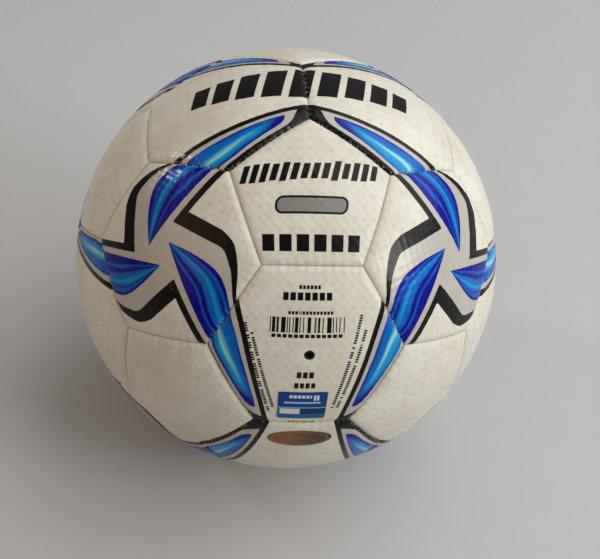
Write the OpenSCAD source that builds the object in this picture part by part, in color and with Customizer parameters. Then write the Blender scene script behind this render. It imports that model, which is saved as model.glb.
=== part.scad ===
// Size 4 futsal ball: 32 hand-stitched panels over foam, cloth and a rubber bladder.
// Frame: origin at the ball's centre, +Z up through the middle of the top seam,
// -Y through the middle of the seam below the valve panel. Millimetres.

/* [Ball] */
// Circumference of the inflated ball
ball_circumference = 630; // [620:1:640]

/* [Cover] */
// Thickness of the synthetic leather cover
cover_t = 1.5; // [1.2:0.1:1.6]
// Depth of the turned-in stitching flange below the ball's surface
flange_depth = 4.6; // [4.4:0.1:4.8]
// Gap between the flanges of two neighbouring panels
seam_gap = 0.4; // [0.3:0.1:0.6]

/* [Backing] */
// Thickness of the foam pad behind each panel
foam_t = 2.2; // [1.8:0.1:2.3]
// Thickness of the lining cloth behind each foam pad
cloth_t = 0.8; // [0.5:0.1:0.9]
// Glue line between two bonded layers
glue_gap = 0.1; // [0.06:0.01:0.15]

/* [Stitching] */
// Diameter of the waxed sewing thread
thread_d = 0.7; // [0.5:0.1:0.8]
// Clearance around the thread in its punched hole
thread_clearance = 0.1; // [0.08:0.01:0.15]
// Number of stitches along each seam
stitches = 11; // [7:1:12]
// Depth of the stitch line below the ball's surface
stitch_depth = 3.1; // [2.9:0.1:3.3]
// Distance from a panel's corner to its first stitch
corner_margin = 2.6; // [2.5:0.1:3.5]

/* [Bladder] */
// Wall of the rubber bladder
bladder_t = 0.9; // [0.7:0.1:1.2]
// Height of the wadding that deadens the bounce
wadding_h = 30; // [15:1:40]

/* [Valve] */
// Diameter of the removable rubber core
core_d = 4; // [3.6:0.1:4.2]
// Length of the core
core_l = 19; // [17:1:21]
// Depth of the core's head below the ball's surface
core_recess = 0.3; // [0.2:0.1:0.6]
// Diameter of the needle channel
needle_d = 2.2; // [2.1:0.1:2.4]
// Depth of the needle channel
needle_l = 14; // [10:1:15]
// Radial clearance of the core in the housing and the cover
core_clearance = 0.2; // [0.1:0.05:0.3]
// Diameter of the housing's neck through the backing
neck_d = 8; // [7:0.5:10]
// Diameter of the housing's stem inside the bladder
stem_d = 9; // [8.5:0.5:11]
// Length of the stem below the bladder's wall
stem_l = 17; // [14:1:20]
// Diameter of the housing's bonded rim
rim_d = 28; // [22:1:34]
// Thickness of the bonded rim
rim_t = 1.4; // [1:0.1:2]
// Diameter of the reinforcing patch between the rim and the bladder
patch_d = 40; // [36:1:50]
// Thickness of the reinforcing patch
patch_t = 0.6; // [0.4:0.1:1]

/* [Labels] */
// Width of the blue label
label_w = 19; // [15:1:22]
// Height of the blue label
label_h = 14.5; // [10:0.5:15]
// Distance of the blue label's middle from the valve panel's middle
label_drop = 23.5; // [21:0.5:24]
// Width of the gold oval
oval_w = 26; // [18:1:30]
// Height of the gold oval
oval_h = 11.5; // [8:0.5:14]
// Distance of the gold oval's middle from its panel's middle
oval_rise = 24.5; // [20:0.5:26]
// Thickness of a label
label_t = 0.15; // [0.1:0.05:0.25]

/* [Hidden] */
$fn = 72;
golden = (1 + sqrt(5)) / 2;
ball_r = ball_circumference / (2 * PI);
far = 3 * ball_r;

// a truncated icosahedron of edge 1: radius at its corners, and distances to its faces
solid_r = sqrt(9 * golden + 10) / 2;
pentagon_apothem = 0.5 / tan(36);
hexagon_apothem = 0.5 / tan(30);
pentagon_tilt = atan(pentagon_apothem / sqrt(solid_r ^ 2 - (0.5 / sin(36)) ^ 2));
hexagon_tilt = atan(hexagon_apothem / sqrt(solid_r ^ 2 - 1));
seam_half_angle = asin(0.5 / solid_r);

// radii of the layers, from the outside in
foam_r = ball_r - cover_t - glue_gap;
cloth_r = foam_r - foam_t - glue_gap;
backing_r = cloth_r - cloth_t;
bladder_r = min(backing_r, ball_r - flange_depth) - 0.4;
bladder_in_r = bladder_r - bladder_t;
patch_r = bladder_in_r - glue_gap;
rim_r = patch_r - patch_t - glue_gap;
wadding_r = bladder_in_r - 0.3;
stitch_r = ball_r - stitch_depth;
label_r = ball_r + label_t;

// distances from the middle of a seam
flange_in = seam_gap / 2 + cover_t;
rail_x = flange_in + thread_d / 2 + thread_clearance;
backing_in = rail_x + thread_d / 2 + 0.3;
stitch_end = seam_half_angle - corner_margin * 180 / (PI * ball_r);
thread_angle = thread_d * 90 / (PI * ball_r);

g = golden;
h = 1 / golden;

PENTAGONS = [
    ["top_front", [0, -1, g]],
    ["top_back", [0, 1, g]],
    ["bottom_front", [0, -1, -g]],
    ["bottom_back", [0, 1, -g]],
    ["front_left", [-1, -g, 0]],
    ["front_right", [1, -g, 0]],
    ["back_left", [-1, g, 0]],
    ["back_right", [1, g, 0]],
    ["left_upper", [-g, 0, 1]],
    ["right_upper", [g, 0, 1]],
    ["left_lower", [-g, 0, -1]],
    ["right_lower", [g, 0, -1]]
];

// the eight panels that carry a three-armed print
SWIRL_HEXAGONS = [
    ["left_front_upper", [-1, -1, 1]],
    ["right_front_upper", [1, -1, 1]],
    ["left_back_upper", [-1, 1, 1]],
    ["right_back_upper", [1, 1, 1]],
    ["left_front_lower", [-1, -1, -1]],
    ["right_front_lower", [1, -1, -1]],
    ["left_back_lower", [-1, 1, -1]],
    ["right_back_lower", [1, 1, -1]]
];

// the twelve panels that meet in pairs and carry two bands each
VALVE_HEXAGON = ["valve", [0, -g, h]];
BAND_HEXAGONS = [
    ["front_lower", [0, -g, -h]],
    ["back_upper", [0, g, h]],
    ["back_lower", [0, g, -h]],
    ["top_left", [-h, 0, g]],
    ["top_right", [h, 0, g]],
    ["bottom_left", [-h, 0, -g]],
    ["bottom_right", [h, 0, -g]],
    ["left_front", [-g, -h, 0]],
    ["left_back", [-g, h, 0]],
    ["right_front", [g, -h, 0]],
    ["right_back", [g, h, 0]]
];

HEXAGONS = concat(SWIRL_HEXAGONS, BAND_HEXAGONS, [VALVE_HEXAGON]);

function unit(v) = v / norm(v);
function near(a, b, least) = unit(a) * unit(b) > least;

// pentagons next to a pentagon, and pentagons next to a hexagon
function ring(c) = [for (p = PENTAGONS) if (near(c, p[1], 0.4) && !near(c, p[1], 0.9)) p[1]];
function flank(c) = [for (p = PENTAGONS) if (near(c, p[1], 0.7)) p[1]];

// puts +Z through a point of the ball and +X towards another
module place(centre, toward) {
    z = unit(centre);
    x = unit(toward - (toward * z) * z);
    y = cross(z, x);
    multmatrix([
        [x[0], y[0], z[0], 0],
        [x[1], y[1], z[1], 0],
        [x[2], y[2], z[2], 0]
    ])
        children();
}

// stands on the middle of each edge of a panel: +Z out of the ball, +Y along the seam
module at_edges(sides, tilt)
    for (i = [0:sides - 1])
        rotate([0, 0, i * 360 / sides])
            rotate([0, tilt, 0])
                children();

// everything beyond a panel's seams, less an inset
module beyond_seams(sides, tilt, inset)
    at_edges(sides, tilt)
        translate([-inset, -far / 2, -far / 2])
            cube(far);

module layer(sides, tilt, outer_r, inner_r, inset)
    difference() {
        sphere(outer_r);
        sphere(inner_r);
        beyond_seams(sides, tilt, inset);
    }

// stands at each stitch of a seam
module at_stitches()
    for (i = [0:stitches - 1])
        rotate([-stitch_end + 2 * stitch_end * i / (stitches - 1), 0, 0])
            translate([0, 0, stitch_r])
                rotate([0, 90, 0])
                    children();

// one panel of the cover, with its edges turned in and punched for the thread
module cover_panel(sides, tilt)
    difference() {
        layer(sides, tilt, ball_r, ball_r - flange_depth, seam_gap / 2);
        layer(sides, tilt, ball_r - cover_t, bladder_in_r, flange_in);
        at_edges(sides, tilt)
            at_stitches()
                cylinder(d = thread_d + 2 * thread_clearance, h = 4 * flange_in, center = true);
    }

// thread of one seam: a run pulled flat along each flange, and a stitch through every hole
module seam_thread() {
    for (side = [-1, 1])
        translate([side * rail_x, 0, 0])
            rotate([0, -90, 0])
                rotate([0, 0, -stitch_end - thread_angle])
                    rotate_extrude(angle = 2 * (stitch_end + thread_angle))
                        translate([stitch_r, 0])
                            square(thread_d, center = true);
    at_stitches()
        cylinder(d = 0.9 * thread_d, h = 2 * rail_x, center = true);
}

module valve_hole(d)
    translate([0, 0, ball_r - far / 4])
        cylinder(d = d, h = far / 2);

module place_valve() place(VALVE_HEXAGON[1], [1, 0, 0]) children();

module pentagon(centre)
    color("gainsboro")
        place(centre, -ring(centre)[0])
            cover_panel(5, pentagon_tilt);

module hexagon(centre, tint)
    color(tint)
        place(centre, flank(centre)[0])
            cover_panel(6, hexagon_tilt);

module hexagon_valve()
    color("whitesmoke")
        difference() {
            hexagon(VALVE_HEXAGON[1], "whitesmoke");
            place_valve() valve_hole(core_d + 2 * core_clearance);
        }

module pentagon_thread(centre)
    color("white")
        place(centre, -ring(centre)[0])
            at_edges(5, pentagon_tilt)
                seam_thread();

// the seams between two hexagons lie between neighbouring pentagons
module hexagon_seam_threads()
    color("white")
        for (p = PENTAGONS, q = PENTAGONS)
            if (near(p[1], q[1], 0.4) && p[1] * [4, 2, 1] < q[1] * [4, 2, 1])
                place(p[1] + q[1], cross(p[1] - q[1], p[1] + q[1]))
                    seam_thread();

module pentagon_backing(outer_r, inner_r)
    for (p = PENTAGONS)
        place(p[1], -ring(p[1])[0])
            layer(5, pentagon_tilt, outer_r, inner_r, backing_in);

module hexagon_backing(outer_r, inner_r)
    difference() {
        for (p = HEXAGONS)
            place(p[1], flank(p[1])[0])
                layer(6, hexagon_tilt, outer_r, inner_r, backing_in);
        place_valve() valve_hole(neck_d + 0.4);
    }

module pentagon_foam_pads() color("khaki") pentagon_backing(foam_r, foam_r - foam_t);
module hexagon_foam_pads() color("khaki") hexagon_backing(foam_r, foam_r - foam_t);
module pentagon_lining_cloths() color("ivory") pentagon_backing(cloth_r, backing_r);
module hexagon_lining_cloths() color("ivory") hexagon_backing(cloth_r, backing_r);

module bladder()
    color("dimgray")
        difference() {
            sphere(bladder_r);
            sphere(bladder_in_r);
            place_valve() valve_hole(neck_d + 0.2);
        }

// soft wadding that lies on the bladder's floor
module bladder_wadding()
    color("linen")
        difference() {
            sphere(wadding_r);
            translate([-far / 2, -far / 2, wadding_h - wadding_r])
                cube(far);
        }

// a round piece of a spherical layer, about the valve
module valve_disc(d, outer_r, t)
    intersection() {
        difference() {
            sphere(outer_r);
            sphere(outer_r - t);
        }
        valve_hole(d);
    }

module valve_patch()
    color("tan")
        place_valve()
            difference() {
                valve_disc(patch_d, patch_r, patch_t);
                valve_hole(neck_d + 0.2);
            }

module valve_housing()
    color("black")
        place_valve()
            difference() {
                union() {
                    valve_disc(rim_d, rim_r, rim_t);
                    translate([0, 0, rim_r - rim_t / 2])
                        cylinder(d = neck_d, h = foam_r - rim_r + rim_t / 2);
                    translate([0, 0, rim_r - rim_t / 2 - stem_l])
                        cylinder(d = stem_d, h = stem_l);
                }
                valve_hole(core_d + 2 * core_clearance);
            }

// rubber core with a needle channel, closed below by its self-sealing end
module valve_core()
    color("black")
        place_valve()
            translate([0, 0, ball_r - core_recess])
                difference() {
                    translate([0, 0, -core_l])
                        cylinder(d = core_d, h = core_l);
                    translate([0, 0, -needle_l])
                        cylinder(d = needle_d, h = needle_l + 1);
                }

module label_shell()
    difference() {
        sphere(label_r);
        sphere(ball_r + 0.02);
    }

module blue_label()
    color("royalblue")
        place_valve()
            intersection() {
                label_shell();
                rotate([asin(label_drop / ball_r), 0, 0])
                    translate([0, 0, ball_r])
                        cube([label_w, label_h, 20], center = true);
            }

module gold_oval()
    color("peru")
        place([0, -g, -h], [1, 0, 0])
            intersection() {
                label_shell();
                rotate([-asin(oval_rise / ball_r), 0, 0])
                    translate([0, 0, ball_r - 10])
                        linear_extrude(20)
                            polygon([for (a = [0:9:351]) [oval_w * cos(a), oval_h * sin(a)] / 2]);
            }

for (p = PENTAGONS) {
    pentagon(p[1]);
    pentagon_thread(p[1]);
}
for (p = SWIRL_HEXAGONS)
    hexagon(p[1], "lightsteelblue");
for (p = BAND_HEXAGONS)
    hexagon(p[1], "whitesmoke");
hexagon_valve();
hexagon_seam_threads();
pentagon_foam_pads();
hexagon_foam_pads();
pentagon_lining_cloths();
hexagon_lining_cloths();
bladder();
bladder_wadding();
valve_patch();
valve_housing();
valve_core();
blue_label();
gold_oval();
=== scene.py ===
"""Looks of the size 4 futsal ball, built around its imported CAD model.

Lengths are millimetres from the ball's centre until new_piece() turns them into metres. A panel's print
is laid out in the flat plane through the panel's corners, where every seam is a straight line.
"""

import functools
import itertools
import math

import bpy
import numpy as np
from mathutils import Matrix, Vector


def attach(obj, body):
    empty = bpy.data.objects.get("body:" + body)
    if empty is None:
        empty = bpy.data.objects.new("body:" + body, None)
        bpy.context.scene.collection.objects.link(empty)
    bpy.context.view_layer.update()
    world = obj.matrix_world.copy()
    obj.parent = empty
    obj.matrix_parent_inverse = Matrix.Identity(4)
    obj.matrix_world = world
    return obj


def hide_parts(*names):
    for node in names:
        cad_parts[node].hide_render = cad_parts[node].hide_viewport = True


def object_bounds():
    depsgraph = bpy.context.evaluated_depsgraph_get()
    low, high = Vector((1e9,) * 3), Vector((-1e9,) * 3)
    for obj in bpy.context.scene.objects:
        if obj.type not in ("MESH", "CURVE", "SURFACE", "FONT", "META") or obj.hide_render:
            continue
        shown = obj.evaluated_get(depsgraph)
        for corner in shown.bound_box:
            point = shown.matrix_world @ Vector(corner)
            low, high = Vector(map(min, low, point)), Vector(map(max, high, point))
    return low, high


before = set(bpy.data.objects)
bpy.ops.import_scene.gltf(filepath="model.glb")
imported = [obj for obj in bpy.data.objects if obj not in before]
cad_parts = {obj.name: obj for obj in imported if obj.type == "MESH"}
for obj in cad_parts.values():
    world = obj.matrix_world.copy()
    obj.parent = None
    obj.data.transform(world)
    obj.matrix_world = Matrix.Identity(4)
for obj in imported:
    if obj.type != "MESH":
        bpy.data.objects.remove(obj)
cad_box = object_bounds()

# ---- the ball's sizes, in millimetres

METRE = 1000.0
GOLD = (1 + math.sqrt(5)) / 2
SHORT = 1 / GOLD
BALL_R = (cad_box[1].x - cad_box[0].x) / 2 * METRE
SEAM_LENGTH = BALL_R / 2.47802                # chord of a seam; the divisor is the solid's own constant
HEXAGON_H = math.sqrt(BALL_R ** 2 - SEAM_LENGTH ** 2)
PENTAGON_CORNER_R = SEAM_LENGTH / (2 * math.sin(math.pi / 5))
PENTAGON_H = math.sqrt(BALL_R ** 2 - PENTAGON_CORNER_R ** 2)
SEAM_MID_H = math.sqrt(BALL_R ** 2 - (SEAM_LENGTH / 2) ** 2)

COVER_T = 1.5          # thickness of a cover panel
FLANGE_DEPTH = 4.6     # how far a panel's edge is turned in
FLANGE_T = 1.3         # thickness of the turned-in edge
SEAM_HALF_GAP = 0.025  # from a panel's edge to the middle of the seam
ROLL_W = 3.3           # width of the rounded shoulder beside a seam
ROLL_DEPTH = 0.95      # how deep the shoulder rolls down
ROLL_ROWS = 10         # rows of points across the shoulder
CREASE_SHARE = 0.26    # share of that depth that lies right at the seam
FOLD_R = 0.4           # rounding where the edge ends
DOME = 0.35            # how much a panel's middle swells above its shoulders
EMBOSS = 0.045         # height of the pattern pressed into the cover
MARK_PITCH = (4.0, 4.6)      # that pattern's columns and rows
SCALLOP = 0.10         # how much the shoulder's width changes from stitch to stitch
STITCH_PULL = 0.10     # how deep a stitch pulls the edge in

STITCHES = 11          # stitches in one seam
STITCH_SPAN = 10.16    # degrees from a seam's middle to its last stitch
STITCH_LEAN = 0.22     # degrees along the seam from a stitch's middle to its end
THREAD_D = 0.7
THREAD_SIDES = 9
THREAD_PLIES = 3
THREAD_TWIST = 2.2     # radians in a millimetre
PLY_DEPTH = 0.12       # groove between plies, as a share of the radius
RAIL_X = 2.15          # from the seam to the run of thread along a flange
RAIL_R = 97.168        # radius of that run
STITCH_TOP_R = BALL_R - 1.60

PAD_INSET = 2.8
FOAM_R = BALL_R - COVER_T - 0.1
FOAM_T = 2.2
CLOTH_R = FOAM_R - FOAM_T - 0.1
CLOTH_T = 0.8
WADDING_R = 93.9
WADDING_H = 30.0

VALVE_HOLE_R = 2.03
VALVE_HOLE_ROLL = 0.06
CORE_R = 2.0
CORE_TOP_R = BALL_R - 0.3
CORE_L = 19.0
NEEDLE_R = 1.1
NEEDLE_L = 14.0
LABEL_T = 0.15
LABEL_SIZE = (19.0, 14.5)
LABEL_DROP = 23.5
OVAL_SIZE = (26.0, 11.5)
OVAL_RISE = 24.5


# ---- vectors and places

def unit(vectors):
    """A vector, or each row of many, at length 1."""
    vectors = np.asarray(vectors, float)
    return vectors / np.linalg.norm(vectors, axis=-1, keepdims=True)


def with_columns(rows, *values):
    """The rows with the same values put after each."""
    return np.column_stack([rows] + [np.full(len(rows), value) for value in values])


def pushed_out(xy, height, radii, axes):
    """Points of a panel's plane, moved along their rays to these distances from the ball's centre."""
    return unit(with_columns(xy, height)) * radii[:, None] @ axes


def circle(turns):
    """Points at these turns round a circle of radius 1."""
    return np.column_stack([np.cos(turns), np.sin(turns)])


def frame_up(centre, up):
    """Rows x, y, z of a panel's frame: z out through its centre, y towards up."""
    z = unit(centre)
    y = unit(np.asarray(up, float) - np.dot(up, z) * z)
    return np.array([np.cross(y, z), y, z])


def flipped(centre, size):
    """The centre with the sign of its coordinate of that size turned over."""
    return [-v if abs(abs(v) - size) < 1e-6 else v for v in centre]


WAYS = {
    "left": (-1, 0, 0), "right": (1, 0, 0), "front": (0, -1, 0), "back": (0, 1, 0),
    "top": (0, 0, 1), "upper": (0, 0, 1), "bottom": (0, 0, -1), "lower": (0, 0, -1),
}


def named_way(name, *sizes):
    """The way that a panel's name tells, with the size of each of its words."""
    return sum(size * np.array(WAYS[word]) for word, size in zip(name.split("_"), sizes))


PENTAGONS = {name: named_way(name, GOLD, 1) for name in (
    "top_front", "top_back", "bottom_front", "bottom_back", "front_left", "front_right",
    "back_left", "back_right", "left_upper", "right_upper", "left_lower", "right_lower",
)}
BAND_HEXAGONS = {"valve": named_way("front_upper", GOLD, SHORT)}
BAND_HEXAGONS.update({name: named_way(name, GOLD, SHORT) for name in (
    "front_lower", "back_upper", "back_lower", "top_left", "top_right", "bottom_left",
    "bottom_right", "left_front", "left_back", "right_front", "right_back",
)})
SWIRL_HEXAGONS = {
    name: named_way(name, 1, 1, 1)
    for name in (
        f"{side}_{end}_{level}" for side in ("left", "right") for end in ("front", "back")
        for level in ("upper", "lower")
    )
}


def pentagon_frame(centre):
    """y points to the corner that faces the pentagon's partner across a pair seam."""
    return frame_up(centre, flipped(centre, 1))


def band_frame(centre):
    """y points away from the pair seam."""
    return frame_up(centre, -np.asarray(flipped(centre, SHORT)))


def swirl_frame(centre):
    """x points to the pentagon in the front or back plane; every second panel is a mirror image."""
    z = unit(centre)
    toward = np.array([0, centre[1], centre[2] * GOLD])
    x = unit(toward - np.dot(toward, z) * z)
    hand = np.prod(centre)
    return np.array([x, hand * np.cross(z, x), z])


# ---- meshes out of loops

class Shell:
    """A closed skin made of loops, each joined to the next. A loop of one point closes an end."""

    def __init__(self):
        self.loops = []

    def add(self, points):
        self.loops.append(np.asarray(points, float))

    def points(self):
        return np.concatenate(self.loops)

    def faces(self, ring=False):
        """Faces between each loop and the next, and between the last and the first of a ring."""
        counts = [len(loop) for loop in self.loops]
        starts = np.cumsum([0] + counts)
        made = []
        for one in range(len(counts) if ring else len(counts) - 1):
            two = (one + 1) % len(counts)
            made += bridge(starts[one], counts[one], starts[two], counts[two])
        return made


def bridge(start_a, count_a, start_b, count_b):
    """Faces between two closed loops, walking round both at the same pace."""
    if count_a == 1:
        return [(start_a, start_b + i, start_b + (i + 1) % count_b) for i in range(count_b)]
    if count_b == 1:
        return [(start_b, start_a + (i + 1) % count_a, start_a + i) for i in range(count_a)]
    if count_a == count_b:
        following = [(i + 1) % count_a for i in range(count_a)]
        return [(start_a + i, start_b + i, start_b + j, start_a + j) for i, j in enumerate(following)]
    made = []
    a = b = 0
    while a < count_a or b < count_b:
        here_a, here_b = start_a + a % count_a, start_b + b % count_b
        if b < count_b and (a >= count_a or (b + 1) / count_b <= (a + 1) / count_a + 1e-9):
            b += 1
            made.append((here_a, here_b, start_b + b % count_b))
        else:
            a += 1
            made.append((here_a, here_b, start_a + a % count_a))
    return made


def add_object(name, data):
    """An object in the scene."""
    made = bpy.data.objects.new(name, data)
    bpy.context.scene.collection.objects.link(made)
    return made


def new_mesh(name, points, faces, material):
    """A smooth-shaded mesh object from points in millimetres."""
    mesh = bpy.data.meshes.new(name)
    mesh.from_pydata((np.asarray(points) / METRE).tolist(), [], faces)
    mesh.validate()
    mesh.shade_smooth()
    mesh.materials.append(material)
    return add_object(name, mesh)


def new_piece(name, points, faces, material, body="ball", slot=None, replaces=()):
    """A mesh that rides on its body."""
    piece = new_mesh(name, points, faces, material)
    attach(piece, body)
    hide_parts(*replaces)
    return piece


def facing_out(faces, axes):
    """The faces, turned over where the panel's frame is a mirror image."""
    return [face[::-1] for face in faces] if np.linalg.det(axes) < 0 else faces


def store(piece, name, vectors):
    """Keeps one vector for each of the mesh's points, for its material to read."""
    attribute = piece.data.attributes.new(name, "FLOAT_VECTOR", "POINT")
    attribute.data.foreach_set("vector", np.asarray(vectors, np.float32).ravel())


# ---- one cover panel

class PanelShape:
    """The loops of a panel in its own plane, shared by all panels with the same outline."""

    def __init__(self, sides, first_corner, height, hole=False, rings=60, inner_rings=15):
        self.height = height
        corner_r = math.sqrt(BALL_R ** 2 - height ** 2)
        self.apothem = corner_r * math.cos(math.pi / sides)
        turns = math.radians(first_corner) + 2 * math.pi * np.arange(sides) / sides
        self.corners = corner_r * circle(turns)
        self.normals = circle(turns + math.pi / sides)
        self.shell = Shell()
        self.build(rings, inner_rings, hole)
        plane = self.shell.points()
        self.xy, self.depth, self.top = plane[:, :2], plane[:, 2], plane[:, 3] > 0.5
        self.polygons = self.shell.faces(ring=hole)
        across = self.xy @ self.normals.T
        self.edge = self.apothem - across.max(axis=1)
        tangents = np.stack([-self.normals[:, 1], self.normals[:, 0]], axis=1)
        self.along = np.einsum("ij,ij->i", self.xy, tangents[across.argmax(axis=1)])

    def ring(self, share, per_side, hole_blend=0.0, hole_r=VALVE_HOLE_R):
        """Points round the outline shrunk to a share of its size; hole_blend turns them into a circle."""
        steps = np.arange(per_side)[:, None] / per_side
        nexts = np.roll(self.corners, -1, axis=0)
        points = share * np.concatenate([a * (1 - steps) + b * steps for a, b in zip(self.corners, nexts)])
        return points * (1 - hole_blend) + hole_r * unit(points) * hole_blend

    def put(self, share, per_side, depth, top=0.0, hole_blend=0.0, hole_r=VALVE_HOLE_R):
        """Adds a ring at a depth below the surface."""
        self.shell.add(with_columns(self.ring(share, per_side, hole_blend, hole_r), depth, top))

    def build(self, rings, inner_rings, hole):
        """The face from the middle out, the shoulder, the turned-in edge and the inner face."""
        roll_share = 1 - (ROLL_W + SEAM_HALF_GAP) / self.apothem
        edge_share = 1 - SEAM_HALF_GAP / self.apothem
        flange_share = 1 - (SEAM_HALF_GAP + FLANGE_T) / self.apothem
        inner_share = flange_share - 0.03
        first = 4 if hole else 1
        if hole:
            for turn in (60, 30):
                lift = VALVE_HOLE_ROLL * (1 - math.cos(math.radians(turn)))
                grow = VALVE_HOLE_ROLL * (1 - math.sin(math.radians(turn)))
                self.put(0.1, first, lift, 1.0, 1.0, VALVE_HOLE_R + grow)
        else:
            self.shell.add([[0, 0, 0, 1]])
        for k in range(first, rings + 1):
            blend = max(0.0, 1 - (k - first) / 5) if hole else 0.0
            self.put(roll_share * k / rings, k, 0.0, 1.0, blend, VALVE_HOLE_R + VALVE_HOLE_ROLL)
        for row in range(1, ROLL_ROWS + 1):
            way = math.sin(math.pi / 2 * row / ROLL_ROWS) ** 1.15
            self.put(roll_share + (edge_share - roll_share) * way, rings, 0.0, 1.0)
        for depth in (0.6, 1.5, 2.6):
            self.put(edge_share, rings, ROLL_DEPTH + depth)
        mid, half = (edge_share + flange_share) / 2, (edge_share - flange_share) / 2
        for turn in range(0, 181, 45):
            bend = math.radians(turn)
            self.put(mid + half * math.cos(bend), rings, FLANGE_DEPTH + FOLD_R * (math.sin(bend) - 1))
        self.put(flange_share, inner_rings * 2, FLANGE_DEPTH - 1.6)
        self.put(flange_share - 0.01, inner_rings, COVER_T + 0.4)
        self.put(inner_share, inner_rings, COVER_T)
        for k in range(inner_rings - 1, 1 if hole else 0, -1):
            blend = max(0.0, 1 - (k - 2) / 3) if hole else 0.0
            self.put(inner_share * k / inner_rings, k, COVER_T, 0.0, blend)
        if hole:
            self.put(0.1, 4, COVER_T - 0.4, 0.0, 1.0)
        else:
            self.shell.add([[0, 0, COVER_T, 0]])

    def radii(self, seed):
        """Distance of each point from the ball's centre: doming, shoulders, scallops and slack."""
        stitch_pitch = BALL_R * math.radians(2 * STITCH_SPAN / (STITCHES - 1))
        scallop = np.cos(2 * math.pi * self.along / stitch_pitch)
        corner_fade = np.clip((SEAM_LENGTH / 2 - 1.5 - np.abs(self.along)) / 3, 0, 1)
        width = ROLL_W * (0.92 + SCALLOP * scallop * corner_fade)
        far = np.clip((self.edge - SEAM_HALF_GAP) / width, 0, 1)
        near = 1 - far
        crease = 1 - np.sqrt(np.clip(1 - near ** 9, 0, 1))
        drop = ROLL_DEPTH * ((1 - CREASE_SHARE) * near ** 2.1 + CREASE_SHARE * crease)
        pull = STITCH_PULL * (1 + scallop) * corner_fade * np.exp(-self.edge / 2.2)
        dome = DOME * np.exp(-self.edge / 7.0)
        x, y = self.xy.T
        phase = seed * 1.7
        slack = 0.05 * np.sin(0.21 * x + phase) * np.sin(0.17 * y - phase)
        slack += 0.035 * np.sin(0.33 * x - 0.27 * y + 2 * phase) * np.cos(0.24 * x + 0.41 * y)
        slack += 0.018 * np.sin(0.9 * self.along + 3 * phase) * np.exp(-self.edge / 5)
        column, row = x / MARK_PITCH[0], y / MARK_PITCH[1]
        emboss = EMBOSS * np.cos(2 * math.pi * column) * np.cos(2 * math.pi * row)
        emboss *= np.clip(self.edge / 4, 0, 1)
        surface = BALL_R - drop - dome - pull + (slack + emboss - 0.08)
        return np.where(self.top, surface - self.depth, BALL_R - self.depth)


HEXAGON = PanelShape(6, 0, HEXAGON_H)
HEXAGON_TURNED = PanelShape(6, 30, HEXAGON_H)
HEXAGON_HOLED = PanelShape(6, 0, HEXAGON_H, hole=True)
PENTAGON = PanelShape(5, 90, PENTAGON_H)


def panel_places(centres, frame_of, shape):
    """Name, outline and frame of each panel of a group."""
    return [
        (name, HEXAGON_HOLED if name == "valve" else shape, frame_of(centre))
        for name, centre in centres.items()
    ]


PENTAGON_PLACES = panel_places(PENTAGONS, pentagon_frame, PENTAGON)
SWIRL_PLACES = panel_places(SWIRL_HEXAGONS, swirl_frame, HEXAGON_TURNED)
BAND_PLACES = panel_places(BAND_HEXAGONS, band_frame, HEXAGON)


# ---- the coloured print

def smooth(points, steps=7):
    """A smooth line through points."""
    p = np.asarray(points, float)
    p = np.vstack([2 * p[0] - p[1], p, 2 * p[-1] - p[-2]])
    t = np.linspace(0, 1, steps, endpoint=False)[:, None]
    line = [
        0.5 * (2 * b + (c - a) * t + (2 * a - 5 * b + 4 * c - d) * t ** 2 + (3 * b - a - 3 * c + d) * t ** 3)
        for a, b, c, d in zip(p[:-3], p[1:-2], p[2:-1], p[3:])
    ]
    return np.vstack(line + [p[-2:-1]])


def beyond(line, reach=6.0):
    """The line with its last stretch carried on past the seam."""
    line = np.asarray(line, float)
    return np.vstack([line, line[-1] + reach * unit(line[-1] - line[-2])])


def line_distance(points, line):
    """Distance of each point from an open line."""
    best = np.full(len(points), np.inf)
    for start, end in zip(line[:-1], line[1:]):
        along = end - start
        if along.any():
            reach = points - start
            share = np.clip(reach @ along / (along @ along), 0, 1)
            best = np.minimum(best, np.hypot(*(reach - share[:, None] * along).T))
    return best


def inside_distance(points, outline):
    """Distance of each point from a closed outline, negative outside."""
    closed = np.vstack([outline, outline[:1]])
    x, y = points.T
    inside = np.zeros(len(points), bool)
    for (x0, y0), (x1, y1) in zip(closed[:-1], closed[1:]):
        if y0 != y1:
            cut = x0 + (y - y0) * (x1 - x0) / (y1 - y0)
            inside ^= ((y0 > y) != (y1 > y)) & (x < cut)
    distance = line_distance(points, closed)
    return np.where(inside, distance, -distance)


def turned(line, degrees):
    """The line turned about the panel's middle."""
    a = math.radians(degrees)
    return np.asarray(line, float) @ np.array([[math.cos(a), math.sin(a)], [-math.sin(a), math.cos(a)]])


# One arm of the three-armed print, which leaves over the edge at 60 degrees.
ARM_BLACK = [(-15.9, 10.0), (-11.2, 25.0), (-8.4, 28.9), (-5.3, 31.2), (2.5, 33.3), (12.6, 33.8)]
ARM_SILVER = [(-11.4, 4.1), (-6.0, 21.5), (-4.6, 25.5), (-2.7, 27.5), (0.6, 29.2), (4.5, 30.8), (13.9, 32.4)]
ARM_BLACK_BACK = [(16.6, 8.8), (34.3, 18.8)]
ARM_SILVER_BACK = [(9.25, 7.8), (32.6, 21.0)]
BLADE_CURVE = [(-3.9, 3.6), (-1.0, 14.3), (2.5, 22.4), (6.2, 26.8), (11.0, 29.5), (15.7, 31.0)]
BLADE_STRAIGHT = [(-3.9, 3.6), (29.3, 21.7)]

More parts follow.
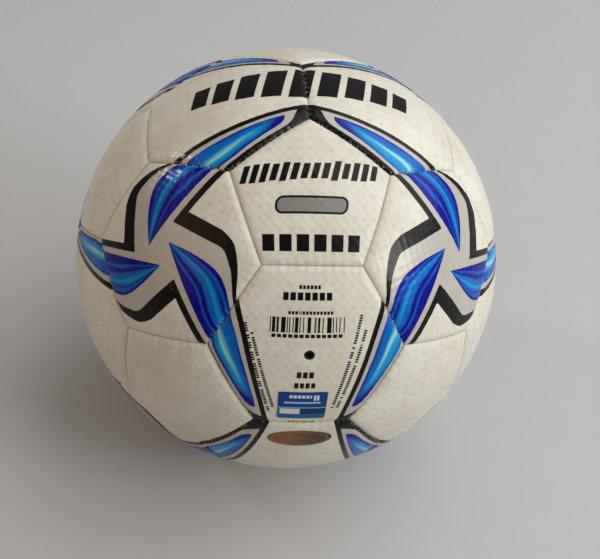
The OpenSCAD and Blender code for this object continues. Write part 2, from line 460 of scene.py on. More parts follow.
# The right one of the two bands that taper down to a pair seam, from its narrow end up.
BAND_BLACK = [(13.6, -36.0), (17.0, -20.0), (20.4, -6.0), (24.0, 8.0), (28.0, 21.0)]
BAND_BLACK_FAR = [(16, -48), (60, -48), (60, 10), (44, 22)]
BAND_SILVER = [(16.7, -31.6), (19.1, -20.0), (22.6, -6.0), (26.3, 8.0), (30.0, 19.0)]
BAND_SILVER_BACK = [(21.0, -29.8), (24.1, -27.3), (28.0, -20.6), (32.0, -13.2), (36.0, -6.2), (40.0, 1.0)]
BAND_BLADE = [(19.3, -26.3), (20.5, -20.0), (23.1, -10.0), (25.5, -2.0), (28.0, 6.5), (31.5, 16.0)]
BAND_BLADE_BACK = [(21.5, -26.0), (24.2, -23.5), (28.4, -16.2), (32.0, -10.0), (36.0, -3.5), (39.0, 3.0)]
BLADE_L = 30.0


def printed(parts):
    """Distances to the edges of the black, silver and blue, and the place inside a blade.

    A part is one arm or band: the points as it sees them, its outlines, and its blade's two edges,
    which start at the blade's tip.
    """
    edges = np.full((len(parts[0][0]), 3), -50.0)
    place = np.zeros_like(edges)
    for number, (points, black, silver, blade_one, blade_two) in enumerate(parts):
        outlines = (black, silver, np.vstack([blade_one, blade_two[::-1]]))
        own = np.column_stack([inside_distance(points, outline) for outline in outlines])
        one, two = line_distance(points, blade_one), line_distance(points, blade_two)
        reach = np.linalg.norm(points - blade_one[0], axis=1) / BLADE_L
        mine = own[:, 2] > edges[:, 2]
        place[mine] = with_columns(np.column_stack([reach, one / (one + two + 1e-6)]), number)[mine]
        edges = np.maximum(edges, own)
    return edges, place


def swirl_print(points):
    """Three arms that meet in the panel's middle."""
    black, silver = (
        np.vstack([beyond(smooth(line[1:])), beyond(back)[::-1], [[0, 0]], line[:1]])
        for line, back in ((ARM_BLACK, ARM_BLACK_BACK), (ARM_SILVER, ARM_SILVER_BACK))
    )
    blade = beyond(smooth(BLADE_CURVE)), beyond(BLADE_STRAIGHT)
    return printed([(turned(points, 120 * number), black, silver, *blade) for number in range(3)])


def band_print(points):
    """Two bands, mirror images, that leave the middle free."""
    black = np.vstack([beyond(beyond(smooth(BAND_BLACK))[::-1]), BAND_BLACK_FAR])
    silver = np.vstack([beyond(smooth(BAND_SILVER))[::-1], beyond(smooth(BAND_SILVER_BACK))])
    back = np.vstack([BAND_BLADE[:1], beyond(smooth(BAND_BLADE_BACK))])
    blade = beyond(smooth(BAND_BLADE)), back
    return printed([(points * (side, 1), black, silver, *blade) for side in (1, -1)])


# ---- sums in a material's nodes

def feed(value, slot):
    """Puts a number, a colour or another node's output on a node's input."""
    value = value.socket if isinstance(value, Number) else value
    if isinstance(value, bpy.types.NodeSocket):
        slot.id_data.links.new(value, slot)
    else:
        slot.default_value = (*value, 1.0) if isinstance(value, tuple) else value


def sum_node(operation):
    """A method that works a number out with one Math node."""
    return lambda self, *others: self.math(operation, *others)


class Number:
    """A number in a node tree that can be used in sums."""

    def __init__(self, socket):
        self.socket = socket

    def math(self, operation, *others, clamp=False):
        node = self.socket.id_data.nodes.new("ShaderNodeMath")
        node.operation = operation
        node.use_clamp = clamp
        for slot, value in zip(node.inputs, (self,) + others):
            feed(value, slot)
        return Number(node.outputs[0])

    __add__ = sum_node("ADD")
    __sub__ = sum_node("SUBTRACT")
    __mul__ = sum_node("MULTIPLY")
    __truediv__ = sum_node("DIVIDE")
    __abs__ = sum_node("ABSOLUTE")
    floor = sum_node("FLOOR")
    larger = sum_node("MAXIMUM")
    smaller = sum_node("MINIMUM")
    modulo = sum_node("FLOORED_MODULO")

    def __neg__(self):
        return self * -1.0

    def clamped(self):
        return self.math("ADD", 0.0, clamp=True)

    def step(self, softness=0.08):
        """1 where the number is above zero, 0 below, with an edge of that softness."""
        return (self / softness + 0.5).clamped()

    def within(self, middle, half):
        """How far inside half of the middle the number is, negative outside."""
        return -(abs(self - middle) - half)


def split(vector):
    """The x, y and z of a vector in a node tree."""
    node = vector.id_data.nodes.new("ShaderNodeSeparateXYZ")
    feed(vector, node.inputs[0])
    return [Number(out) for out in node.outputs]


class Paint:
    """A material being built: short names for the nodes that this script needs."""

    def __init__(self, name):
        self.material = bpy.data.materials.new(name)
        self.material.use_nodes = True
        self.tree = self.material.node_tree

    def node(self, kind, inputs=(), **settings):
        """A node with its settings and what goes into its inputs."""
        made = self.tree.nodes.new(kind)
        for key, value in settings.items():
            setattr(made, key, value)
        for key, value in dict(inputs).items():
            feed(value, made.inputs[key])
        return made

    def attribute(self, name):
        """The three numbers that store() kept under a name."""
        return split(self.node("ShaderNodeAttribute", attribute_name=name).outputs["Vector"])

    def vector(self, *parts):
        return self.node("ShaderNodeCombineXYZ", enumerate(parts)).outputs[0]

    def place(self):
        """The point's place on the object, in metres."""
        return self.node("ShaderNodeTexCoord").outputs["Object"]

    def noise(self, scale, detail=3.0, roughness=0.5, at=None, distortion=0.0):
        node = self.node("ShaderNodeTexNoise", {
            "Vector": self.place() if at is None else at, "Scale": scale, "Detail": detail,
            "Roughness": roughness, "Distortion": distortion,
        })
        return Number(node.outputs[0])

    def cells(self, x, y):
        """A random number from 0 to 1 for each whole x and y."""
        node = self.node("ShaderNodeTexWhiteNoise", {"Vector": self.vector(x, y)}, noise_dimensions="3D")
        return Number(node.outputs["Value"])

    def mix(self, share, one, two):
        """Colour one where share is 0, colour two where it is 1."""
        return self.node("ShaderNodeMix", {"Factor": share, 6: one, 7: two}, data_type="RGBA").outputs[2]

    def ramp(self, share, stops):
        node = self.node("ShaderNodeValToRGB", {0: share})
        elements = node.color_ramp.elements
        while len(elements) < len(stops):
            elements.new(0.5)
        for element, (position, colour) in zip(elements, stops):
            element.position = position
            element.color = (*colour, 1.0)
        return node.outputs[0]

    def bump(self, height, strength, distance=0.001, after=None):
        node = self.node("ShaderNodeBump", {"Height": height, "Strength": strength, "Distance": distance})
        if after is not None:
            feed(after, node.inputs["Normal"])
        return node.outputs[0]

    def finish(self, colour, normal, roughness, **sockets):
        """Puts the looks on the shader, whose other sockets go by their names in small letters."""
        sockets.update(base_color=colour, normal=normal, roughness=roughness)
        for key, value in sockets.items():
            socket = key.replace("_", " ").title().replace("Ior", "IOR")
            feed(value, self.tree.nodes["Principled BSDF"].inputs[socket])
        return self.material


def srgb(*levels):
    """A screen colour, 0 to 255, as the linear colour that a shader takes."""
    shares = [level / 255 for level in levels]
    return tuple(c / 12.92 if c <= 0.04045 else ((c + 0.055) / 1.055) ** 2.4 for c in shares)


PEARL = srgb(222, 220, 208)
PEARL_WARM = srgb(208, 201, 184)
MARK = srgb(168, 164, 152)
SILVER = srgb(190, 186, 178)
SILVER_DARK = srgb(172, 168, 160)
INK = srgb(9, 8, 9)
DEEP_BLUE = srgb(2, 0, 134)
MID_BLUE = srgb(0, 96, 186)
CYAN = srgb(2, 146, 200)
PALE_STREAK = srgb(158, 220, 214)
GREY_INK = srgb(128, 128, 124)
HANDLED = srgb(168, 156, 134)
# painted shade: the darker, browner tone laid into the seam crease at each panel's edge
CREASE_SHADE = srgb(168, 154, 124)
# pale flecks near the edges: partly worn print, partly painted highlight on the glossy shoulders
WEAR_AND_GLINT = srgb(188, 184, 172)


def box_distance(x, y, middle, half, corner=0.3, slant=0.0):
    """How far inside a rounded box a point is, in millimetres; a slant leans it over."""
    if slant:
        x = x - (y - middle[1]) * slant
    across = (abs(x - middle[0]) - (half[0] - corner)).larger(0.0)
    up = (abs(y - middle[1]) - (half[1] - corner)).larger(0.0)
    return -((across * across + up * up).math("SQRT") - corner)


def dash_row(paint, x, y, left, right, middle, height, cell, gaps=0.0, seed=0.0, solid=0.38):
    """A row of short dashes, some left out at random, in place of a line of print."""
    place = (x - left) / cell
    number = place.floor()
    dash = -(abs(place - number - 0.5) * cell - cell * solid)
    ends = x.within((left + right) / 2, (right - left) / 2)
    marks = dash.smaller(y.within(middle, height / 2)).smaller(ends)
    if gaps:
        marks = marks.smaller((paint.cells(number, seed) - gaps) * 4)
    return marks


# Ends of the four fine lines of marks that run down beside the bands.
SIDE_LINES = (
    ((-24.7, 12.0), (-14.0, -27.5)), ((-21.8, 8.3), (-12.3, -24.9)),
    ((19.2, 15.7), (10.9, -25.3)), ((21.2, 9.6), (13.0, -25.5)),
)

# Rows of dashes on the valve panel: left and right end, middle, height, pitch and share left out.
VALVE_ROWS = (
    (-5.2, 3.2, 26.5, 1.5, 1.4, 0.0), (-11.2, 7.7, 22.9, 3.1, 2.7, 0.0),
    (-10.1, 8.1, 16.6, 1.3, 1.3, 0.15), (-14.6, 12.1, 7.6, 1.4, 2.05, 0.0),
    (-4.4, 2.5, -8.4, 2.7, 2.3, 0.0), (-5.0, 3.4, -13.2, 2.5, 2.1, 0.0), (-6.2, 5.0, -34.0, 1.6, 1.6, 0.0),
)


def valve_ink(paint, x, y):
    """Rows of dashes and a plain bar pattern round the valve."""
    rows = [dash_row(paint, x, y, *row, row[2]) for row in VALVE_ROWS]
    bars = (paint.cells(((x + 15.2) / 0.42).floor(), 4.0) - 0.42) * 2
    rows.append(bars.smaller(box_distance(x, y, (-0.9, 11.9), (14.3, 3.0), 0.1)))
    for number, (top, foot) in enumerate(SIDE_LINES):
        slope = math.atan2(foot[1] - top[1], foot[0] - top[0])
        right, up = x - top[0], y - top[1]
        u = right * math.cos(slope) + up * math.sin(slope)
        v = up * math.cos(slope) - right * math.sin(slope)
        rows.append(dash_row(paint, u, v, 0, math.dist(top, foot), 0, 1.25, 1.0, 0.15, 10 + number))
    return functools.reduce(Number.larger, rows)


def top_ink(paint, across, along):
    """A motif of leaning bars across the top pair of panels."""
    pitch = 11.6
    lean = across - (along - 2) * 0.22 + 1.5
    number = (lean / pitch + 0.5).floor()
    bar = lean.within(number * pitch, 4.3)
    tall = along.within(2.2, abs(number) * -0.9 + 10.4)
    return bar.smaller(tall).smaller(lean.within(0, 4.6 * pitch))


def pill_distance(x, y):
    """How far inside the long pill a point is."""
    return box_distance(x, y, (-0.5, -4.5), (13.8, 3.5), 3.0, 0.12)


def pentagon_ink(paint, x, y):
    """Three rows of plain marks: thin leaning strokes, a long pill and a row of blocks."""
    pitch = 3.9
    rise = y - x * 0.035
    lean = x - rise * 0.28 + 3.2
    number = (lean / pitch).floor()
    strokes = lean.within((number + 0.5) * pitch, 1.3).smaller(lean.within(0, 27.3))
    strokes = strokes.smaller(rise.within(8.9, paint.cells(number, 3.0) * 1.2 + 3.0))
    pill = pill_distance(x, y)
    blocks = dash_row(paint, x, y, -20.4, 18.9, -19, 6.6, 6.55, solid=0.359)
    return strokes.larger(pill.smaller(-(pill - 0.9))).larger(blocks)


def pressed_marks(x, y):
    """Crosses and squares by turns, as distances inside them in millimetres."""
    column, row = x / MARK_PITCH[0], y / MARK_PITCH[1]
    column_number, row_number = (column + 0.5).floor(), (row + 0.5).floor()
    u = (column - column_number) * MARK_PITCH[0]
    v = (row - row_number) * MARK_PITCH[1]
    one, two = abs(u + v) * 0.7071, abs(u - v) * 0.7071
    cross = (-((one - 0.3).larger(two - 1.35))).larger(-((two - 0.3).larger(one - 1.35)))
    square = -(abs(u).larger(abs(v)) - 0.62)
    odd = (column_number + row_number).modulo(2.0)
    return cross * (-odd + 1.0) + (square - 0.06) * odd


def flowing_place(paint, reach, across, number):
    """The place across a blade, bent a little so that streaks flow along it."""
    slow = paint.noise(1.0, 1.0, 0.5, paint.vector(reach * 1.1, across * 1.4, number * 3.7))
    fine = paint.noise(1.0, 1.5, 0.5, paint.vector(reach * 0.6, across * 13.0, number * 2.3))
    return (across + (slow - 0.5) * 0.42 + (fine - 0.5) * 0.16).clamped()


def swirl_streaks(paint, reach, across, number):
    """Deep blue with two flowing lighter streaks that run together in the tip."""
    level = flowing_place(paint, reach, across, number)
    return paint.ramp(level, [
        (0.0, DEEP_BLUE), (0.08, DEEP_BLUE), (0.14, MID_BLUE), (0.19, DEEP_BLUE), (0.25, MID_BLUE),
        (0.36, CYAN), (0.41, MID_BLUE), (0.51, MID_BLUE), (0.57, DEEP_BLUE), (0.68, DEEP_BLUE),
        (0.73, MID_BLUE), (0.79, DEEP_BLUE), (1.0, DEEP_BLUE),
    ])


def band_streaks(paint, reach, across, number):
    """Bright blue with one pale streak, deep blue at the narrow end."""
    level = flowing_place(paint, reach, across, number)
    colour = paint.ramp(level, [
        (0.0, DEEP_BLUE), (0.14, MID_BLUE), (0.30, MID_BLUE), (0.42, CYAN), (0.72, CYAN),
        (0.86, MID_BLUE), (1.0, DEEP_BLUE),
    ])
    pale = level.within(0.54, 0.07).step(0.13) * reach.within(1.05, 0.38).step(0.5)
    colour = paint.mix(pale * 0.9, colour, PALE_STREAK)
    narrow = (-(reach - 0.30) + (level - 0.5) * 0.4).step(0.25)
    return paint.mix(narrow, colour, DEEP_BLUE)


def cover_material(name, ink=None, streaks=None, fill=None):
    """Pearl synthetic leather, with the print and the black marks that a panel carries."""
    paint = Paint(name)
    x, y, edge = paint.attribute("panel_place")
    marks = pressed_marks(x, y)
    mark_share = marks.step(0.25)
    patchy = paint.noise(38, 4, 0.55)
    colour = paint.mix(patchy.math("MULTIPLY_ADD", 2.2, -0.65, clamp=True), PEARL, PEARL_WARM)
    faded = paint.noise(70, 2, 0.5).math("MULTIPLY_ADD", 0.5, -0.04)
    colour = paint.mix(mark_share * faded, colour, MARK)
    handled = (paint.noise(160, 5, 0.6) - 0.56).step(0.3) * 0.16
    colour = paint.mix(handled, colour, HANDLED)
    # painted shade: the colour darkens in the seam crease, within a fraction of a millimetre of the panel's
    # edge
    crease_shade = (-(edge - 0.25)).step(0.8) * 0.45
    colour = paint.mix(crease_shade, colour, CREASE_SHADE)
    metal, lift = 0.0, marks.math("ADD", 0.25, clamp=True)
    if streaks is not None:
        wander = (paint.noise(420, 3, 0.6) - 0.5) * 0.22
        black, silver, blue = ((part + wander).step() for part in paint.attribute("print_edges"))
        silvers = paint.mix(paint.noise(90, 4, 0.6), SILVER_DARK, SILVER)
        colour = paint.mix(black, colour, INK)
        colour = paint.mix(silver, colour, silvers)
        colour = paint.mix(blue, colour, streaks(paint, *paint.attribute("blade_place")))
        metal = silver * 0.1
        lift = lift * (black.larger(silver) * -0.85 + 1.0)
    if fill is not None:
        colour = paint.mix(fill(x, y).step(), colour, GREY_INK)
    if ink is not None:
        ink_place = paint.attribute("pair_place")[:2] if ink is top_ink else (x, y)
        colour = paint.mix(ink(paint, *ink_place).step(0.12), colour, INK)
    # pale flecks within about a millimetre of the edge: partly worn print, partly painted highlight on the
    # glossy shoulders beside the seams
    wear_and_glint = (paint.noise(900, 3, 0.7) - 0.60).step(0.06) * (-(edge - 1.1)).step(0.7) * 0.45
    colour = paint.mix(wear_and_glint, colour, WEAR_AND_GLINT)
    relief = paint.bump(lift, 0.3, 0.0001)
    relief = paint.bump(paint.noise(1500, 3, 0.6), 0.16, 0.0001, relief)
    rough = mark_share * 0.10 + patchy * 0.16 + 0.24
    return paint.finish(colour, relief, rough, metallic=metal, coat_weight=0.15, coat_roughness=0.1,
                        specular_ior_level=0.12)


COVER_PLAIN = cover_material("pearl_cover")
COVER_SWIRL = cover_material("pearl_cover_three_armed_print", streaks=swirl_streaks)
COVER_BAND = cover_material("pearl_cover_band_print", streaks=band_streaks)
COVER_VALVE = cover_material("pearl_cover_valve_panel", valve_ink, band_streaks)
COVER_TOP = cover_material("pearl_cover_bar_motif", top_ink, band_streaks)
COVER_TOP_PENTAGON = cover_material("pearl_cover_pentagon_marks", pentagon_ink, fill=pill_distance)


# ---- the 32 cover panels

def cover_panel(name, shape, axes, material, slot, seed, print_maker, shift):
    """One panel with what its material reads."""
    points = pushed_out(shape.xy, shape.height, shape.radii(seed), axes)
    piece = new_piece("cover_" + name, points, facing_out(shape.polygons, axes), material, slot=slot,
                      replaces=[name])
    store(piece, "panel_place", np.column_stack([shape.xy, shape.edge]))
    if print_maker:
        edges, place = print_maker(shape.xy - shift)
        store(piece, "print_edges", edges)
        store(piece, "blade_place", place)
    if material is COVER_TOP:
        plane = points / np.abs(points[:, 2:]) * SEAM_MID_H
        store(piece, "pair_place", plane * [np.sign(axes[2, 2]), 1, 1])


rng = np.random.default_rng(7)

# How far some panels' prints are off their middle, in millimetres. The others' are random and small.
PRINT_SHIFTS = {
    "left_front_upper": (-2.1, 0.8), "right_front_upper": (-3.2, 0.6), "valve": (0.0, 0.0),
    "front_lower": (0.0, 2.0), "top_left": (1.2, 1.6), "top_right": (-1.2, 1.6),
}
MARKED_COVERS = {
    "pentagon_top_front": COVER_TOP_PENTAGON, "hexagon_valve": COVER_VALVE,
    "hexagon_top_left": COVER_TOP, "hexagon_top_right": COVER_TOP,
}

for kind, places, material, slot, first_seed, print_maker in (
    ("pentagon", PENTAGON_PLACES, COVER_PLAIN, "plain_cover", 0, None),
    ("hexagon", SWIRL_PLACES, COVER_SWIRL, "swirl_cover", 20, swirl_print),
    ("hexagon", BAND_PLACES, COVER_BAND, "band_cover", 40, band_print),
):
    for seed, (name, shape, axes) in enumerate(places, first_seed):
        node = f"{kind}_{name}"
        shift = PRINT_SHIFTS.get(name, rng.uniform(-0.9, 0.9, 2)) if print_maker else None
        cover_panel(node, shape, axes, MARKED_COVERS.get(node, material), slot, seed, print_maker, shift)


# ---- the sewing thread

def strand(path):
    """Points and faces of a closed strand of twisted plies along a path in millimetres."""
    path = np.asarray(path, float)
    tangents = unit(np.gradient(path, axis=0))
    side = unit(np.cross(tangents, unit(path)))
    up = np.cross(side, tangents)
    run = np.concatenate([[0], np.cumsum(np.linalg.norm(np.diff(path, axis=0), axis=1))])
    turns = 2 * math.pi * np.arange(THREAD_SIDES) / THREAD_SIDES
    shell = Shell()
    shell.add(path[:1])
    for i, middle in enumerate(path):
        size = THREAD_D / 2 * (1 + PLY_DEPTH * np.cos(THREAD_PLIES * turns + THREAD_TWIST * run[i]))
        if i in (0, len(path) - 1):
            size = size * 0.75
        x, y = size * circle(turns).T
        shell.add(middle + np.outer(x, side[i]) + np.outer(y, up[i]))
    shell.add(path[-1:])
    return shell.points(), shell.faces()


def seam_strands(middle, along):
    """The runs along both flanges and the stitches across the seam, whose tops show in the valley."""
    across = np.cross(middle, along)

    def at(degrees, side, radius):
        a = math.radians(degrees)
        ahead = middle * math.cos(a) + along * math.sin(a)
        return radius * unit(ahead + across * side / radius)

    strands = []
    for side in (-RAIL_X, RAIL_X):
        stops = np.linspace(-STITCH_SPAN - 0.2, STITCH_SPAN + 0.2, 41)
        strands.append(strand([at(a, side, RAIL_R) for a in stops]))
    for degrees in np.linspace(-STITCH_SPAN, STITCH_SPAN, STITCHES):
        strands.append(strand([
            at(degrees + STITCH_LEAN * s, RAIL_X * s, RAIL_R + (STITCH_TOP_R - RAIL_R) * (1 - abs(s) ** 2.5))
            for s in np.linspace(-1, 1, 9)
        ]))
    return strands


def joined(parts):
    """Several closed skins as one list of points and faces."""
    points, faces, start = [], [], 0
    for part_points, part_faces in parts:
        points.append(part_points)
        faces += [tuple(i + start for i in face) for face in part_faces]
        start += len(part_points)
    return np.concatenate(points), faces


def thread_material():
    """Waxed three-ply thread, dull off-white, darkened where it lies in the seams."""
    paint = Paint("waxed_thread")
    fibre = paint.noise(2600, 3, 0.7)
    soil = paint.noise(60, 3, 0.5)
    colour = paint.mix(fibre, srgb(196, 190, 172), srgb(226, 221, 205))
    colour = paint.mix((soil - 0.55).step(0.4) * 0.5, colour, srgb(140, 130, 108))
    return paint.finish(colour, paint.bump(fibre, 0.5, 0.0002), fibre * 0.2 + 0.55)


THREAD = thread_material()


def pentagon_seams(axes):
    """Middle and direction of each of the five seams round a pentagon."""
    middles = unit(with_columns(PENTAGON.normals * PENTAGON.apothem, PENTAGON_H) @ axes)
    tangents = np.column_stack([-PENTAGON.normals[:, 1], PENTAGON.normals[:, 0]])
    return list(zip(middles, with_columns(tangents, 0) @ axes))


def hexagon_seams():
    """Middle and direction of each seam between two hexagons: one for each pair of near pentagons."""
    pairs = itertools.combinations([unit(centre) for centre in PENTAGONS.values()], 2)
    return [(unit(one + two), unit(two - one)) for one, two in pairs if one @ two > 0.4]


def stitching(name, replaces, seams):
    """The thread of some seams."""
    strands = joined([part for seam in seams for part in seam_strands(*seam)])
    new_piece("stitching_" + name, *strands, THREAD, slot="thread", replaces=[replaces])


for name, _, axes in PENTAGON_PLACES:
    stitching(name, "thread_" + name, pentagon_seams(axes))
stitching("hexagon_seams", "hexagon_seam_threads", hexagon_seams())


# ---- foam, cloth and wadding inside

NECK_HOLE_R = 4.3     # hole in the backing round the valve's neck


def backing(shape, axes, outer_r, thickness, edge, wave, seed):
    """A soft sheet behind one panel, with rounded edges and a slightly uneven face."""
    holed = shape is HEXAGON_HOLED
    count, first = 14, 2 if holed else 1
    share_in, share_out = 1 - (PAD_INSET + edge) / shape.apothem, 1 - PAD_INSET / shape.apothem
    layout = [(share_in * k / count, k, 0.0) for k in range(first, count + 1)]
    for turn in (30, 60, 90, 120, 150):
        a = math.radians(turn)
        share = share_in + (share_out - share_in) * math.sin(a)
        layout.append((share, count, thickness * (1 - math.cos(a)) / 2))
    layout += [(share_in * k / count, k, thickness) for k in range(count, first - 1, -1)]
    shell = Shell()
    if not holed:
        shell.add([[0, 0, 0]])
    for share, per_side, depth in layout:
        blend = max(0.0, (6 - per_side) / 4) if holed else 0.0
        shell.add(with_columns(shape.ring(share, per_side, blend, NECK_HOLE_R), depth))
    if not holed:
        shell.add([[0, 0, thickness]])
    x, y, depth = shell.points().T
    ripple = wave * np.sin(0.35 * x + seed) * np.sin(0.31 * y - 2 * seed)
    radius = outer_r - depth + (ripple * 0.8 - wave * 0.2) * depth / thickness
    points = pushed_out(np.column_stack([x, y]), shape.height, radius, axes)
    return points, facing_out(shell.faces(ring=holed), axes)


def foam_material():
    """Yellowed open-cell foam."""
    paint = Paint("latex_foam")
    cell = paint.node("ShaderNodeTexVoronoi", {"Scale": 1400, "Vector": paint.place()})
    pores = Number(cell.outputs["Distance"])
    colour = paint.mix(pores, srgb(150, 132, 84), srgb(222, 206, 158))
    colour = paint.mix(paint.noise(45, 3, 0.5) * 0.3, colour, srgb(190, 160, 100))
    return paint.finish(colour, paint.bump(pores, 0.7, 0.0004), 0.9)


def cloth_material(name, light, dark, threads_per_metre):
    """Plain-woven cloth."""
    paint = Paint(name)
    x, y, z = split(paint.place())
    pace = threads_per_metre * math.tau
    weave = (x * pace).math("SINE") * ((y + z) * pace).math("SINE")
    fuzz = paint.noise(900, 4, 0.6)
    colour = paint.mix((weave * 0.35 + fuzz).clamped(), dark, light)
    return paint.finish(colour, paint.bump(weave * 0.5 + fuzz, 0.6, 0.0003), 0.88, sheen_weight=0.2)


def wadding_material():
    """Loose grey-white filling with coloured lint."""
    paint = Paint("lint_wadding")
    tuft = paint.noise(260, 6, 0.7, distortion=1.2)
    colour = paint.mix(tuft, srgb(140, 138, 132), srgb(214, 212, 204))
    lint = (paint.noise(700, 2, 0.5) - 0.66).step(0.05) * 0.5
    colour = paint.mix(lint, colour, srgb(90, 110, 150))
    return paint.finish(colour, paint.bump(tuft, 0.9, 0.002), 0.95, sheen_weight=0.3)


FOAM = foam_material()
LINING = cloth_material("lining_cloth", srgb(226, 222, 208), srgb(170, 164, 146), 1400)
PATCH = cloth_material("rubberised_cloth", srgb(84, 80, 76), srgb(40, 38, 36), 1100)


def backing_pieces():
    """Foam pads and lining cloths behind the hexagons and behind the pentagons."""
    for kind, places in (("hexagon", SWIRL_PLACES + BAND_PLACES), ("pentagon", PENTAGON_PLACES)):
        pads, cloths = (
            joined([backing(*place[1:], *sizes, seed) for seed, place in enumerate(places)])
            for sizes in ((FOAM_R, FOAM_T, 1.0, 0.12), (CLOTH_R, CLOTH_T, 0.3, 0.10))
        )
        piece = new_piece(f"foam_backing_{kind}s", *pads, FOAM, slot="foam", replaces=[f"{kind}_foam_pads"])
        new_piece(f"lining_{kind}s", *cloths, LINING, slot="lining", replaces=[f"{kind}_lining_cloths"])


def wadding():
    """A lumpy heap on the bladder's floor."""
    floor_z = WADDING_H - WADDING_R
    rim_z = floor_z - 6.5
    rim = math.sqrt((WADDING_R - 1.0) ** 2 - rim_z ** 2)
    around = 2 * math.pi * np.arange(120) / 120
    shell = Shell()
    shell.add([[0, 0, floor_z - 2.5]])
    for share in np.linspace(0.03, 0.985, 34):
        x, y = share * rim * circle(around).T
        lumps = np.sin(0.19 * x + 1) * np.sin(0.23 * y - 0.6) + 0.6 * np.sin(0.41 * x - 0.37 * y)
        lumps += 0.35 * np.sin(0.83 * x + 0.2 * y) * np.sin(0.77 * y)
        z = floor_z - 3.0 + 1.25 * lumps * (1 - share ** 4) - 3.5 * share ** 6
        shell.add(np.column_stack([x, y, z]))
    for turn in np.linspace(math.acos((0.8 - rim_z) / WADDING_R), 0.04, 26):
        radius = WADDING_R - 0.5 - 0.3 * np.sin(9 * around) * math.sin(3 * turn)
        x, y = radius * math.sin(turn) * circle(around).T
        shell.add(np.column_stack([x, y, -radius * math.cos(turn)]))
    shell.add([[0, 0, 0.5 - WADDING_R]])
    piece = new_piece("wadding_heap", shell.points(), shell.faces(), wadding_material(), slot="wadding",
                      replaces=["bladder_wadding"])


backing_pieces()
wadding()


# ---- valve, bladder and labels

def rubber_material(name, dark, light, shine):
    """Moulded rubber with faint talc."""
    paint = Paint(name)
    bloom = paint.noise(220, 5, 0.65)
    colour = paint.mix(bloom * 0.6, dark, light)
    fine = paint.noise(2400, 2, 0.5)
    relief = paint.bump(fine, 0.25, 0.0001)
    return paint.finish(colour, relief, bloom * 0.2 + shine, specular_ior_level=0.25)


def core_profile():
    """Needle channel, rounded mouth, gripping grooves and a rounded foot."""
    channel = [(0, -NEEDLE_L), (NEEDLE_R * 0.6, -NEEDLE_L), (NEEDLE_R, -NEEDLE_L + 0.4), (NEEDLE_R, -0.5)]
    mouth = [(1.13, -0.3), (1.22, -0.12), (1.38, -0.02), (1.5, 0), (1.65, -0.01), (1.82, -0.07),
             (1.93, -0.18), (1.985, -0.32), (CORE_R, -0.5)]
    grooves = []
    for groove in range(5):
        top = -3.0 - 2.7 * groove
        grooves += [(CORE_R, top), (CORE_R - 0.05, top - 0.1), (CORE_R - 0.14, top - 0.3),
                    (CORE_R - 0.14, top - 0.9), (CORE_R - 0.05, top - 1.1), (CORE_R, top - 1.2)]
    foot = [(CORE_R, 0.9 - CORE_L), (1.92, 0.5 - CORE_L), (1.7, 0.22 - CORE_L), (1.4, 0.06 - CORE_L),
            (1.0, -CORE_L), (0, -CORE_L)]
    return [(r, CORE_TOP_R + h) for r, h in channel + mouth + grooves + foot]


VALVE_AXES = band_frame(BAND_HEXAGONS["valve"])


def core_plug():
    """The valve's core, turned from its profile."""
    ring = circle(2 * math.pi * np.arange(48) / 48)
    shell = Shell()
    for radius, height in core_profile():
        shell.add([[0, 0, height]] if radius == 0 else with_columns(radius * ring, height))
    material = rubber_material("black_core_rubber", srgb(5, 5, 6), srgb(12, 12, 13), 0.5)
    new_piece("valve_core_plug", shell.points() @ VALVE_AXES, shell.faces(), material, "valve_core",
              "core_rubber", ["valve_core"])


core_plug()


def sticker(name, axes, middle, size, power, material, slot, replaces):
    """A thin film that lies on the cover; a power of 1 makes it an oval and a low one a rounded box."""
    turns = circle(2 * math.pi * np.arange(160) / 160)
    outline = np.array(size) / 2 * np.sign(turns) * np.abs(turns) ** power
    layout = [(share, LABEL_T) for share in np.linspace(0.06, 0.985, 20)]
    layout += [(0.995, LABEL_T * 0.8), (1.0, LABEL_T * 0.4), (1.0, -0.1), (0.9, -0.2), (0.4, -0.2)]
    shell = Shell()
    shell.add([[0, 0, LABEL_T]])
    for share, lift in layout:
        shell.add(with_columns(outline * share, lift))
    shell.add([[0, 0, -0.2]])
    x, y, lift = shell.points().T
    ripple = 0.02 * np.sin(0.9 * x) * np.sin(1.1 * y + 1)
    xy = np.column_stack([x + middle[0], y + middle[1]])
    points = pushed_out(xy, HEXAGON_H, BALL_R + lift + ripple, axes)
    piece = new_piece(name, points, shell.faces(), material, slot=slot, replaces=[replaces])
    store(piece, "panel_place", np.column_stack([x, y, lift]))


def label_material():
    """Two blues with plain boxes and rows of dashes."""
    paint = Paint("blue_label_film")
    x, y, _ = paint.attribute("panel_place")
    shade = paint.noise(300, 3, 0.5)
    colour = paint.mix(shade, srgb(0, 50, 116), srgb(0, 66, 136))
    colour = paint.mix((-y - 1.0).step(0.4), colour, srgb(2, 88, 150))
    for middle, half, tone in (
        ((-4.7, -2.9), (3.9, 1.5), srgb(206, 204, 192)),
        ((4.5, -2.9), (4.9, 1.5), srgb(18, 46, 70)),
        ((0.0, -0.8), (9.4, 0.16), srgb(150, 190, 220)),
    ):
        colour = paint.mix(box_distance(x, y, middle, half, 0.15).step(0.12), colour, tone)
    rows = dash_row(paint, x, y, -5.4, 3.4, 5.0, 1.5, 1.6)
    for left, right, middle, height, cell in ((4.0, 6.4, 4.4, 2.6, 1.2), (-7.0, 7.0, 1.9, 0.8, 1.0)):
        rows = rows.larger(dash_row(paint, x, y, left, right, middle, height, cell, 0.1, middle))
    colour = paint.mix(rows.step(0.12) * 0.85, colour, srgb(206, 224, 240))
    relief = paint.bump(shade, 0.1, 0.0001)
    return paint.finish(colour, relief, shade * 0.1 + 0.3, specular_ior_level=0.2)


